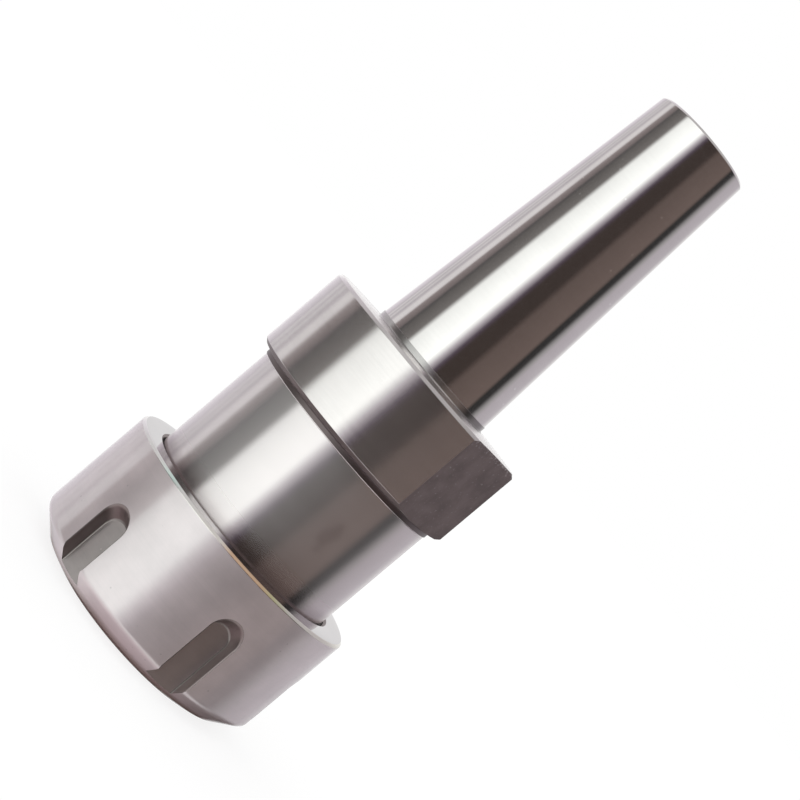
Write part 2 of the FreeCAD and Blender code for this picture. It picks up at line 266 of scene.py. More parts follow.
def turning_tree():
    """Turn an outline, drawn as radius along X and height along Z, once round the axis."""
    tree, given = geometry_tree("turned_outline", [
        ("Segments", "Int"), ("Rounding Steps", "Int"), ("Material", "Material")])
    rail_radius = 10 * MM
    curve = node(tree, "GeometryNodeMeshToCurve", {"Mesh": given["Geometry"]}).outputs[0]
    rounding = node(tree, "GeometryNodeInputNamedAttribute", {"Name": "rounding"}, data_type="FLOAT")
    rounded = node(tree, "GeometryNodeFilletCurve", {
        "Curve": curve, "Count": given["Rounding Steps"], "Radius": rounding.outputs["Attribute"],
        "Limit Radius": True}, mode="POLY").outputs[0]
    place = split(tree, node(tree, "GeometryNodeInputPosition").outputs[0])
    section = node(tree, "ShaderNodeCombineXYZ", {
        "X": maths(tree, "SUBTRACT", place["X"], rail_radius),
        "Y": maths(tree, "MULTIPLY", place["Z"], -1.0)}).outputs[0]
    laid = node(tree, "GeometryNodeSetPosition", {"Geometry": rounded, "Position": section}).outputs[0]
    rail = node(tree, "GeometryNodeCurvePrimitiveCircle", {
        "Resolution": given["Segments"], "Radius": rail_radius}).outputs[0]
    turned = node(tree, "GeometryNodeCurveToMesh", {"Curve": rail, "Profile Curve": laid}).outputs[0]
    outwards = node(tree, "GeometryNodeFlipFaces", {"Mesh": turned}).outputs[0]
    welded = node(tree, "GeometryNodeMergeByDistance", {
        "Geometry": outwards, "Distance": TREE_WELD * MM}).outputs[0]
    return end_tree(tree, welded, given["Material"])


def cutting_tree():
    """Cut a tool out of a piece, as many times as asked, evenly round the axis."""
    tree, given = geometry_tree("cut_round_the_axis", [
        ("Tool", "Object"), ("Count", "Int"), ("First Turn", "Float"), ("Material", "Material")])
    tool = node(tree, "GeometryNodeObjectInfo", {"Object": given["Tool"]}).outputs["Geometry"]
    points = node(tree, "GeometryNodeMeshLine", {
        "Count": given["Count"], "Offset": (0.0, 0.0, 0.0)}).outputs[0]
    step = maths(tree, "DIVIDE", math.tau, given["Count"])
    number = node(tree, "GeometryNodeInputIndex").outputs[0]
    turn = maths(tree, "MULTIPLY_ADD", number, step, given["First Turn"])
    turns = node(tree, "ShaderNodeCombineXYZ", {"Z": turn}).outputs[0]
    ring = node(tree, "GeometryNodeInstanceOnPoints", {
        "Points": points, "Instance": tool, "Rotation": turns}).outputs[0]
    cutters = node(tree, "GeometryNodeRealizeInstances", {"Geometry": ring}).outputs[0]
    cut = node(tree, "GeometryNodeMeshBoolean", {0: given["Geometry"], 1: cutters},
               operation="DIFFERENCE", solver="EXACT").outputs[0]
    return end_tree(tree, cut, given["Material"])


def thread_tree():
    """A right-hand screw thread. Each row of the grid climbs one pitch in a turn, so the ridges stay crisp,
    and both ends run out into the plain cylinder. Crest and root are an eighth of the pitch wide."""
    tree, given = geometry_tree("screw_thread", [
        ("Radius", "Float"), ("Depth", "Float"), ("Pitch", "Float"), ("Start", "Float"), ("End", "Float"),
        ("Runout", "Float"), ("Segments", "Int"), ("Rows Per Pitch", "Int"), ("Material", "Material")])
    half_flat = 1.0 / 16.0
    row_step = maths(tree, "DIVIDE", given["Pitch"], given["Rows Per Pitch"])
    below = maths(tree, "SUBTRACT", given["Start"], given["Pitch"])
    first = maths(tree, "FLOOR", maths(tree, "DIVIDE", below, row_step))
    last = maths(tree, "CEIL", maths(tree, "DIVIDE", given["End"], row_step))
    rows = maths(tree, "SUBTRACT", last, first)
    grid = node(tree, "GeometryNodeMeshGrid", {
        "Size X": 1.0, "Size Y": 1.0, "Vertices X": maths(tree, "ADD", given["Segments"], 1.0),
        "Vertices Y": maths(tree, "ADD", rows, 1.0)}).outputs["Mesh"]
    place = split(tree, node(tree, "GeometryNodeInputPosition").outputs[0])
    share = maths(tree, "ADD", place["X"], 0.5)
    row = maths(tree, "MULTIPLY_ADD", maths(tree, "ADD", place["Y"], 0.5), rows, first)
    row_height = maths(tree, "MULTIPLY", maths(tree, "ROUND", row), row_step)
    climbed = maths(tree, "MULTIPLY_ADD", share, given["Pitch"], row_height)
    height = maths(tree, "MINIMUM", maths(tree, "MAXIMUM", climbed, given["Start"]), given["End"])
    turns_up = maths(tree, "DIVIDE", row_height, given["Pitch"])
    phase = maths(tree, "FRACT", maths(tree, "ADD", turns_up, half_flat))
    from_crest = maths(tree, "ABSOLUTE", maths(tree, "SUBTRACT", phase, 0.5))
    ridge = mapped(tree, from_crest, half_flat, 0.5 - half_flat, 1.0, 0.0)
    from_end = maths(tree, "MINIMUM", maths(tree, "SUBTRACT", height, given["Start"]),
                     maths(tree, "SUBTRACT", given["End"], height))
    fade = maths(tree, "DIVIDE", from_end, given["Runout"], clamp=True)
    depth = maths(tree, "MULTIPLY", maths(tree, "MULTIPLY", ridge, fade), given["Depth"])
    radius = maths(tree, "ADD", given["Radius"], depth)
    angle = maths(tree, "MULTIPLY", share, math.tau)
    where = node(tree, "ShaderNodeCombineXYZ", {
        "X": maths(tree, "MULTIPLY", radius, maths(tree, "COSINE", angle)),
        "Y": maths(tree, "MULTIPLY", radius, maths(tree, "SINE", angle)), "Z": height}).outputs[0]
    wound = node(tree, "GeometryNodeSetPosition", {"Geometry": grid, "Position": where}).outputs[0]
    welded = node(tree, "GeometryNodeMergeByDistance", {
        "Geometry": wound, "Distance": TREE_WELD * MM}).outputs[0]
    return end_tree(tree, welded, given["Material"])


TURNING = turning_tree()
CUTTING = cutting_tree()
THREADING = thread_tree()


def new_object(name, mesh):
    made = bpy.data.objects.new(name, mesh)
    bpy.context.scene.collection.objects.link(made)
    return made


def run_tree(piece, tree, values):
    """Run a geometry tree on a piece with the values of its named inputs, and keep the result as the
    piece's mesh."""
    modifier = piece.modifiers.new(tree.name, "NODES")
    modifier.node_group = tree
    for item in tree.interface.items_tree:
        if item.in_out == "INPUT" and item.name in values:
            modifier[item.identifier] = values[item.name]
    piece.update_tag()
    shown = bpy.context.evaluated_depsgraph_get()
    result = bpy.data.meshes.new_from_object(piece.evaluated_get(shown), depsgraph=shown)
    piece.modifiers.clear()
    old = piece.data
    piece.data = result
    result.name = piece.name
    bpy.data.meshes.remove(old)
    return piece


def turned_piece(name, corners, closed, material):
    """A turned piece from corners of (radius, height, rounding)."""
    mesh = bpy.data.meshes.new(name)
    points = [(radius * MM, 0.0, height * MM) for radius, height, _ in corners]
    edges = [(number, number + 1) for number in range(len(points) - 1)]
    if closed:
        edges.append((len(points) - 1, 0))
    mesh.from_pydata(points, edges, [])
    rounding = mesh.attributes.new("rounding", "FLOAT", "POINT")
    for item, corner in zip(rounding.data, corners):
        item.value = corner[2] * MM
    return run_tree(new_object(name, mesh), TURNING, {
        "Segments": SEGMENTS, "Rounding Steps": ROUNDING_STEPS, "Material": material})


def cut_with(piece, tool, count, first_turn, material):
    """Cut a tool out of a piece, count times round the axis, and throw the tool away."""
    run_tree(piece, CUTTING, {"Tool": tool, "Count": count, "First Turn": first_turn, "Material": material})
    bpy.data.objects.remove(tool)


def object_from(name, shape):
    """An object from a bmesh, which is freed."""
    mesh = bpy.data.meshes.new(name)
    shape.to_mesh(mesh)
    shape.free()
    return new_object(name, mesh)


def block(name, low, high):
    """A square-cornered cutting tool from one corner to the other."""
    shape = bmesh.new()
    size = [end - start for start, end in zip(low, high)]
    middle = [(end + start) / 2 * MM for start, end in zip(low, high)]
    place = Matrix.Translation(middle) @ Matrix.Diagonal((*size, 1.0))
    bmesh.ops.create_cube(shape, size=MM, matrix=place)
    return object_from(name, shape)


def add_thread(piece, name, radius, depth, pitch, start, end):
    """Put a thread in place of a piece's plain cylinder between two heights."""
    thread = new_object(name, bpy.data.meshes.new(name))
    run_tree(thread, THREADING, {
        "Radius": radius * MM, "Depth": depth * MM, "Pitch": pitch * MM, "Start": start * MM,
        "End": end * MM, "Runout": pitch * MM, "Segments": SEGMENTS, "Rows Per Pitch": ROWS_PER_PITCH,
        "Material": CUT_THREAD})
    shape = bmesh.new()
    shape.from_mesh(piece.data)
    plain = []
    for face in shape.faces:
        off = [abs(math.hypot(*vertex.co.xy) - radius * MM) for vertex in face.verts]
        if max(off) < TOUCHING * MM and start < face.calc_center_median().z / MM < end:
            plain.append(face)
    bmesh.ops.delete(shape, geom=plain, context="FACES")
    shape.from_mesh(thread.data)
    bmesh.ops.remove_doubles(shape, verts=shape.verts, dist=WELD * MM)
    shape.to_mesh(piece.data)
    shape.free()
    bpy.data.objects.remove(thread)


def finish_surface(piece, finishes, finish_of):
    """Weld, turn the faces outwards, shade smooth up to an angle and within one finish, and give each face
    its finish."""
    shape = bmesh.new()
    shape.from_mesh(piece.data)
    bmesh.ops.remove_doubles(shape, verts=shape.verts, dist=WELD * MM)
    bmesh.ops.dissolve_degenerate(shape, edges=shape.edges, dist=SLIVER * MM)
    bmesh.ops.recalc_face_normals(shape, faces=shape.faces)
    piece.data.materials.clear()
    for finish in finishes:
        piece.data.materials.append(finish)
    for face in shape.faces:
        middle = face.calc_center_median() / MM
        face.smooth = True
        face.material_index = finish_of(math.hypot(middle.x, middle.y), middle, face.normal)
    shape.edges.index_update()
    meetings = []
    for edge in shape.edges:
        if len({face.material_index for face in edge.link_faces}) > 1:
            meetings.append(edge.index)
    shape.to_mesh(piece.data)
    shape.free()
    piece.data.set_sharp_from_angle(angle=SHARP_FROM)
    for number in meetings:
        piece.data.edges[number].use_edge_sharp = True


# Finishes

# How many cells of each scattered pattern lie in a metre, and how the steel varies over them
MARK_CELLS = 40.0
BLOTCH_CELLS = 160.0
ROUGHNESS_SWING = 0.08
SPECK_CELLS = 900.0
SPECK_SIZE = 0.2
STAIN_CELLS = 300.0
STAIN_WANDER = 5.0
STAIN_STRETCH = (1.0, 1.0, 0.5)
STAIN_CORE = 0.6
GRAIN_CELLS = 1500.0
WAVE_CELLS = 260.0


def new_finish(name):
    """A material and its emptied tree."""
    material = bpy.data.materials.new(name)
    material.use_nodes = True
    material.node_tree.nodes.clear()
    return material, material.node_tree


def noise(tree, place, cells, detail, roughness=0.5):
    """A noise pattern's outputs. Most of its values lie between 0.3 and 0.7."""
    return node(tree, "ShaderNodeTexNoise", {
        "Vector": place, "Scale": cells, "Detail": detail, "Roughness": roughness}).outputs


def along_axis(tree, place, stops):
    """A tint that changes along the axis, from stops of (height, colour)."""
    start, end = stops[0][0], stops[-1][0]
    share = mapped(tree, split(tree, place)["Z"], start * MM, end * MM)
    return ramp(tree, share, [((stop - start) / (end - start), colour) for stop, colour in stops])


def specks(tree, place, share):
    """1 in small round specks, in a share of the cells of a scattered pattern, else 0."""
    cells = node(tree, "ShaderNodeTexVoronoi", {"Vector": place, "Scale": SPECK_CELLS}).outputs
    chosen = maths(tree, "GREATER_THAN", split(tree, cells["Color"])["X"], 1.0 - share)
    edge = SPECK_SIZE * MM * SPECK_CELLS
    return maths(tree, "MULTIPLY", chosen, mapped(tree, cells["Distance"], edge, edge / 2))


def in_stain(tree, place, middle, size):
    """0 in a stain with an uneven edge, rising to 1 round it. The wander moves it back from the given middle
    by half of STAIN_WANDER along each axis."""
    wander = noise(tree, place, STAIN_CELLS, 2.0)["Color"]
    moved = vector_maths(tree, "MULTIPLY_ADD", wander, (STAIN_WANDER * MM,) * 3, place)
    offset = vector_maths(tree, "SUBTRACT", moved, tuple(value * MM for value in middle))
    longer = vector_maths(tree, "MULTIPLY", offset, STAIN_STRETCH)
    away = node(tree, "ShaderNodeVectorMath", {0: longer}, operation="LENGTH").outputs["Value"]
    return between(tree, away, STAIN_CORE * size * MM, size * MM)


def steel(name, colour, roughness, spread, glaze=None, glaze_heights=None, lines=0.02, line_width=0.4,
          mottle=0.03, along=None, around=None, stain=None, speckle=None, dull=0.0):
    """Ground or turned steel with fine marks round the axis. Spread smears what it reflects along the axis.
    Glaze is (strength, roughness) of a second reflection: a haze over a polished surface, or a polish over a
    dull one. It comes in between the glaze heights. Along and around are stops that tint the steel, stain is
    (place, size, tint), speckle is (share, tint) of its specks, and dull is the share of the steel that
    doesn't shine."""
    material, tree = new_finish(name)
    place = node(tree, "ShaderNodeTexCoord").outputs["Object"]
    drawn_out = node(tree, "ShaderNodeMapping", {
        "Vector": place, "Scale": (MARK_CELLS, MARK_CELLS, 1.0 / (line_width * MM))}).outputs[0]
    marks = noise(tree, drawn_out, 1.0, 3.0, 0.6)["Fac"]
    blotches = noise(tree, place, BLOTCH_CELLS, 4.0)["Fac"]
    shade = mapped(tree, marks, 0.3, 0.7, 1.0 - lines, 1.0 + lines)
    uneven = mapped(tree, blotches, 0.3, 0.7, 1.0 - mottle, 1.0 + mottle)
    level = maths(tree, "MULTIPLY", shade, uneven)
    tone = node(tree, "ShaderNodeVectorMath", {0: colour, "Scale": level}, operation="SCALE").outputs[0]
    if along:
        tone = vector_maths(tree, "MULTIPLY", tone, along_axis(tree, place, along))
    if around:
        tone = vector_maths(tree, "MULTIPLY", tone, angle_ramp(tree, place, around))
    if stain:
        middle, size, tint = stain
        darker = vector_maths(tree, "MULTIPLY", tone, tint)
        tone = blended(tree, darker, tone, in_stain(tree, place, middle, size))
    if speckle:
        share, tint = speckle
        tone = blended(tree, tone, vector_maths(tree, "MULTIPLY", tone, tint), specks(tree, place, share))
    quarter_turn = 0.25
    surface = node(tree, "ShaderNodeBsdfPrincipled", {
        "Base Color": tone, "Metallic": 1.0 - dull,
        "Roughness": mapped(tree, marks, 0.25, 0.75, roughness * (1 - ROUGHNESS_SWING),
                            roughness * (1 + ROUGHNESS_SWING)),
        "Anisotropic": spread, "Anisotropic Rotation": quarter_turn,
        "Tangent": node(tree, "ShaderNodeTangent", direction_type="RADIAL", axis="Z").outputs[0]})
    if glaze:
        strength, glaze_roughness = glaze
        surface.inputs["Coat IOR"].default_value = (1 + math.sqrt(strength)) / (1 - math.sqrt(strength))
        surface.inputs["Coat Roughness"].default_value = glaze_roughness
        surface.inputs["Coat Weight"].default_value = 1.0
    if glaze_heights:
        start, end = glaze_heights
        weight = between(tree, split(tree, place)["Z"], start * MM, end * MM)
        tree.links.new(weight, surface.inputs["Coat Weight"])
    node(tree, "ShaderNodeOutputMaterial", {"Surface": surface.outputs[0]})
    return material


def torn_steel(name, colour, torn_colour, roughness):
    """The wrench flats: rough from a blunt cutter, with bright torn grains that gather at the rear edge."""
    edge_width, edge_share = 2.0, 0.12
    torn_from, torn_to = 0.61, 0.71
    darkest, brightest = 0.86, 1.12
    relief, relief_height, wave_share = 0.5, 0.04, 0.5
    material, tree = new_finish(name)
    place = node(tree, "ShaderNodeTexCoord").outputs["Object"]
    grain = noise(tree, place, GRAIN_CELLS, 5.0, 0.7)["Fac"]
    waves = noise(tree, place, WAVE_CELLS, 3.0)["Fac"]
    height = split(tree, place)["Z"]
    near_edge = between(tree, height, (COLLAR_END - edge_width) * MM, COLLAR_END * MM)
    torn = mapped(tree, maths(tree, "MULTIPLY_ADD", near_edge, edge_share, grain), torn_from, torn_to)
    patches = mapped(tree, waves, 0.35, 0.65, darkest, brightest)
    patched = node(tree, "ShaderNodeVectorMath", {0: colour, "Scale": patches}, operation="SCALE").outputs[0]
    rise = maths(tree, "MULTIPLY_ADD", waves, wave_share, grain)
    bumps = node(tree, "ShaderNodeBump", {
        "Height": rise, "Strength": relief, "Distance": relief_height * MM}).outputs[0]
    surface = node(tree, "ShaderNodeBsdfPrincipled", {
        "Base Color": blended(tree, patched, torn_colour, torn), "Metallic": 1.0, "Roughness": roughness,
        "Normal": bumps}).outputs[0]
    node(tree, "ShaderNodeOutputMaterial", {"Surface": surface})
    return material


# The nut's front edge is painted darker and browner: painted shade for the dark ground it reflects. Its rear
# edge is painted with tints that change round the axis: a painted reflection of warm and pale light at fixed
# angles.
NUT_FRONT_PAINTED_SHADE = [
    (0.0, (0.45, 0.36, 0.34)),
    (1.2, (0.50, 0.40, 0.38)),
    (2.0, (0.92, 0.86, 0.88)),
    (4.4, (1.0, 1.0, 1.0)),
]
# Painted reflection on the nut's rear edge, by angle round the axis.
NUT_EDGE_PAINTED_REFLECTION = [
    (-70, (0.9, 0.9, 0.9)),
    (-12, (0.9, 0.92, 0.9)),
    (-2, (0.75, 0.95, 0.9)),
    (5, (1.0, 1.0, 1.0)),
    (28, (1.0, 0.97, 0.93)),
    (34, (0.85, 0.60, 0.42)),
    (50, (0.81, 0.58, 0.40)),
    (56, (0.70, 0.66, 0.41)),
    (66, (0.85, 0.84, 0.78)),
]
# The ring at the shank's root is painted dark round most of the axis, with one painted bright stretch:
# painted shade and a painted highlight at fixed angles.
ROOT_PAINTED_LIGHT_AND_SHADE = [
    (-70, (0.64, 0.64, 0.64)),
    (26, (0.64, 0.64, 0.64)),
    (38, (1.0, 1.0, 1.0)),
    (60, (0.95, 0.95, 0.95)),
    (74, (0.36, 0.35, 0.35)),
    (100, (0.34, 0.33, 0.33)),
    (115, (0.5, 0.5, 0.5)),
]

GROUND_SHANK = steel("ground_shank", (0.80, 0.755, 0.75), 0.14, 0.98, lines=0.01,
                     speckle=(0.03, (1.4, 1.4, 1.4)))
GROUND_COLLAR = steel("ground_collar", (0.77, 0.72, 0.715), 0.22, 0.98, glaze=(0.03, 0.6))
# The body's haze fades out towards the nut between the glaze heights: painted shade where the nut's rear
# face blocks the light.
GROUND_BODY = steel("ground_body", (0.795, 0.727, 0.73), 0.22, 0.98, glaze=(0.24, 0.6),
                    glaze_heights=(25.0, 29.0), line_width=0.9,
                    stain=((19.5, -8.0, 38.9), 1.9, (0.78, 0.74, 0.74)))
TURNED_RING = steel("turned_ring", (0.20, 0.165, 0.165), 0.45, 0.3, mottle=0.1)
# The root ring's tints round the axis are a painted highlight and painted shade.
TURNED_ROOT = steel("turned_root", (0.84, 0.80, 0.79), 0.3, 0.7, mottle=0.12, around=ROOT_PAINTED_LIGHT_AND_SHADE)
ROUGH_FLAT = torn_steel("rough_flat", (0.30, 0.245, 0.24), (0.62, 0.57, 0.56), 0.55)
CUT_THREAD = steel("cut_thread", (0.62, 0.60, 0.59), 0.25, 0.5)
GROUND_BORE = steel("ground_bore", (0.66, 0.64, 0.63), 0.2, 0.6)
# The nut's front is painted darker along the axis: painted shade.
SATIN_NUT = steel("satin_nut", (0.86, 0.765, 0.78), 0.57, 0.5, glaze=(0.21, 0.1), dull=0.28, mottle=0.07,
                  along=NUT_FRONT_PAINTED_SHADE, speckle=(0.06, (0.8, 0.8, 0.8)))
NUT_REAR = steel("nut_rear", (0.44, 0.415, 0.42), 0.06, 0.0)
# The rear edge's tints round the axis are a painted reflection.
NUT_EDGE = steel("nut_edge", (1.0, 0.97, 0.95), 0.2, 0.0, around=NUT_EDGE_PAINTED_REFLECTION)
MILLED_FLOOR = steel("milled_floor", (0.66, 0.60, 0.595), 0.42, 0.0, mottle=0.1,
                     speckle=(0.2, (1.3, 1.3, 1.3)))
# The slot walls and the fillets at their feet are painted much darker than the slot floor: painted shade in
# the slots.
SHADED_MILLED_WALL = steel("milled_wall", (0.28, 0.235, 0.23), 0.4, 0.0, mottle=0.08)
SHADED_MILLED_CORNER = steel("milled_corner", (0.34, 0.31, 0.30), 0.4, 0.0)
GROUND_COLLET = steel("ground_collet", (0.70, 0.69, 0.69), 0.2, 0.6)
SAWN_SLIT = steel("sawn_slit", (0.42, 0.41, 0.41), 0.4, 0.0)


# Pieces

def holder():
    """The one-piece holder, from the collet's seat round the nose, body, collar and shank to the draw-bar
    hole."""
    tool_bore = seat_radius(SEAT_END) - TOOL_BORE_STEP
    seat_start = NOSE_FRONT + SEAT_CHAMFER
    root_ring = SHANK_ROOT_RADIUS + SHANK_ROOT_STEP
    piece = turned_piece("chuck_holder", [
        (0.0, TOOL_BORE_END + tool_bore / math.tan(DRILL_POINT), 0.0),
        (tool_bore, TOOL_BORE_END, 0.0),
        (tool_bore, SEAT_END, 0.1),
        (seat_radius(SEAT_END), SEAT_END, 0.0),
        (seat_radius(seat_start), seat_start, 0.1),
        (seat_radius(seat_start) + SEAT_CHAMFER, NOSE_FRONT, 0.1),
        (NOSE_CORE - NOSE_CHAMFER, NOSE_FRONT, 0.15),
        (NOSE_CORE, NOSE_FRONT + NOSE_CHAMFER, 0.0),
        (NOSE_CORE, NOSE_THREAD_END, 0.0),
        (NOSE_CORE, BODY_FRONT, 0.1),
        (THREAD_RADIUS, BODY_FRONT, 0.25),
        (THREAD_RADIUS, RING_FRONT, 0.0),
        (RING_RADIUS, RING_FRONT, RING_ROUNDING),
        (RING_RADIUS, COLLAR_FRONT, 0.05),
        (COLLAR_RADIUS - COLLAR_CHAMFER, COLLAR_FRONT + COLLAR_FACE_RISE, 0.4),
        (COLLAR_RADIUS, COLLAR_FRONT + COLLAR_FACE_RISE + COLLAR_CHAMFER, 0.3),
        (COLLAR_RADIUS, COLLAR_END - COLLAR_FACE_RISE - COLLAR_CHAMFER, 0.15),
        (COLLAR_RADIUS - COLLAR_CHAMFER, COLLAR_END - COLLAR_FACE_RISE, 0.15),
        (root_ring, COLLAR_END, 0.3),
        (root_ring, SHANK_ROOT, 0.05),
        (SHANK_ROOT_RADIUS, SHANK_ROOT, 0.0),
        (SHANK_END_RADIUS, SHANK_END - SHANK_END_CHAMFER, 0.2),
        (SHANK_END_RADIUS - SHANK_END_CHAMFER, SHANK_END, 0.2),
        (DRAWBAR_CORE + CENTRE_STEP, SHANK_END, 0.1),
        (DRAWBAR_CORE, CENTRE_END, 0.0),
        (DRAWBAR_CORE, DRAWBAR_THREAD_START, 0.0),
        (DRAWBAR_CORE, DRAWBAR_BOTTOM, 0.0),
        (0.0, DRAWBAR_BOTTOM - DRAWBAR_CORE / math.tan(DRILL_POINT), 0.0),
    ], False, GROUND_BODY)
    past = 2.0
    outside = COLLAR_RADIUS + past
    tool = block("flat_tool", (FLAT_DISTANCE, -outside, COLLAR_FRONT), (outside, outside, COLLAR_END))
    cut_with(piece, tool, 2, 0.0, GROUND_BODY)
    add_thread(piece, "nose_thread", NOSE_CORE, THREAD_DEPTH, THREAD_PITCH, NOSE_FRONT + NOSE_CHAMFER,
               NOSE_THREAD_END)
    add_thread(piece, "drawbar_thread", DRAWBAR_CORE, DRAWBAR_DEPTH, DRAWBAR_PITCH, DRAWBAR_THREAD_START,
               CENTRE_END)
    finish_surface(piece, [GROUND_BODY, GROUND_COLLAR, GROUND_SHANK, TURNED_RING, TURNED_ROOT, ROUGH_FLAT,
                           CUT_THREAD, GROUND_BORE], holder_finish)
    return piece


def holder_finish(radius, middle, normal):
    """Number of the finish of one face of the holder."""
    body, collar, shank, ring, root, flat, thread, bore = range(8)
    near = 0.5
    in_drawbar_hole = middle.z > DRAWBAR_BOTTOM - DRAWBAR_CORE
    if in_drawbar_hole and radius < SHANK_END_RADIUS - 1.5 * SHANK_END_CHAMFER:
        return thread if radius < DRAWBAR_CORE + CENTRE_STEP else ring
    if middle.z < BODY_FRONT and radius > NOSE_CORE - near:
        return thread
    if middle.z > SHANK_ROOT:
        return shank
    if middle.z > COLLAR_END - TOUCHING:
        return root
    if middle.z > COLLAR_FRONT - TOUCHING:
        if middle.z < COLLAR_FRONT + COLLAR_FACE_RISE + COLLAR_CHAMFER and radius > THREAD_RADIUS:
            return ring
        if abs(normal.x) > 0.999 and abs(abs(middle.x) - FLAT_DISTANCE) < TOUCHING:
            return flat
        return collar if radius > SHANK_ROOT_RADIUS else bore
    if radius < THREAD_RADIUS - near:
        return bore
    if middle.z > RING_FRONT - TOUCHING:
        return ring if middle.z > RING_FRONT + RING_ROUNDING + TOUCHING else collar
    return body


def nut_outside(height):
    """The nut's outer radius at a height, along its front lead and cone."""
    if height < NUT_LEAD_HEIGHT:
        share = max(height, 0.0) / NUT_LEAD_HEIGHT
        return NUT_FACE_EDGE + share * (NUT_CONE_FOOT - NUT_FACE_EDGE)
    share = min((height - NUT_LEAD_HEIGHT) / (NUT_CORNER_HEIGHT - NUT_LEAD_HEIGHT), 1.0)
    return NUT_CONE_FOOT + share * (NUT_RADIUS - NUT_CONE_FOOT)


def slot_tool(end):
    """The path of the milling cutter for one spanner slot: a small fillet round its floor, upright walls, an
    end wall that leans outward where the cutter comes out on a slant, and rounded edges at the nut's
    outside."""
    before, clear, part_way = 2.0, 1.5, 0.3
    centre = end - (NUT_RADIUS - SLOT_FLOOR) * SLOT_END_LEAN - SLOT_HALF_WIDTH
    wall_foot = SLOT_FLOOR + SLOT_FILLET
    straight = [-before, 0.0, NUT_LEAD_HEIGHT, NUT_CORNER_HEIGHT, (NUT_CORNER_HEIGHT + centre) / 2]
    turns = [math.pi * step / SLOT_END_STEPS for step in range(SLOT_END_STEPS + 1)]
    outline = [(1.0, 0.0, height, 0.0) for height in straight]
    outline += [(math.cos(turn), math.sin(turn), centre, SLOT_END_LEAN) for turn in turns]
    outline += [(-1.0, 0.0, height, 0.0) for height in reversed(straight)]

    def level(offset, depth=None, lift=0.0):
        """One ring of the tool at a depth, or else at the nut's outside and lifted from it."""
        half = SLOT_HALF_WIDTH + offset
        ring = []
        for across, along, foot, lean in outline:
            surface = math.sqrt(nut_outside(foot) ** 2 - (across * SLOT_HALF_WIDTH) ** 2)
            out = depth or max(wall_foot + SLOT_ROUNDING, surface) + lift
            ring.append((across * half, out, foot + along * half + (out - SLOT_FLOOR) * lean))
        return ring

    levels = [
        level(-SLOT_FILLET, SLOT_FLOOR),
        level(-part_way * SLOT_FILLET, SLOT_FLOOR + part_way * SLOT_FILLET),
        level(0.0, wall_foot),
    ]
    for turn in (math.radians(0), math.radians(30), math.radians(60)):
        widened = SLOT_ROUNDING * (1 - math.cos(turn))
        levels.append(level(widened, lift=SLOT_ROUNDING * (math.sin(turn) - 1)))
    levels.append(level(SLOT_ROUNDING / 2 + clear, lift=clear / 2))
    shape = bmesh.new()
    rings = [[shape.verts.new((x * MM, y * MM, z * MM)) for x, y, z in ring] for ring in levels]
    for low, high in zip(rings, rings[1:]):
        for number in range(len(low)):
            shape.faces.new((low[number - 1], low[number], high[number], high[number - 1]))
    for cap in (rings[0], rings[-1]):
        for number in range(len(cap) // 2):
            across = [cap[number], cap[number + 1], cap[-2 - number], cap[-1 - number]]
            shape.faces.new(list(dict.fromkeys(across)))
    bmesh.ops.recalc_face_normals(shape, faces=shape.faces)
    return object_from("slot_tool", shape)


def depth_in_slot(place):
    """How far out a point in a spanner slot lies along the middle of the slot, or 0 outside the slots."""
    radius = math.hypot(place.x, place.y)
    turn = math.atan2(place.x, place.y) / (math.pi / SLOT_PAIRS)
    nearest = round(turn)
    off = (turn - nearest) * math.pi / SLOT_PAIRS
    end = SHORT_SLOT_END if nearest % 2 else LONG_SLOT_END
    past_centre = max(0.0, place.z - (end - SLOT_HALF_WIDTH))
    reach_of_slot = SLOT_HALF_WIDTH + 0.9 * SLOT_ROUNDING
    inside = math.hypot(radius * math.sin(off), past_centre) < reach_of_slot
    return radius * math.cos(off) if inside else 0.0


def lip_tool():
    """The boring tool of the eccentric pull-out lip."""
    past = 0.5
    radius = GROOVE_RADIUS + LIP_GAP + LIP_ECCENTRICITY
    middle = Vector((LIP_ECCENTRICITY, 0.0, (LIP_FRONT + LIP_END + past) / 2)) * MM
    shape = bmesh.new()
    bmesh.ops.create_cone(shape, cap_ends=True, segments=SEGMENTS, radius1=radius * MM, radius2=radius * MM,
                          depth=(LIP_END - LIP_FRONT + past) * MM, matrix=Matrix.Translation(middle))
    return object_from("lip_tool", shape)


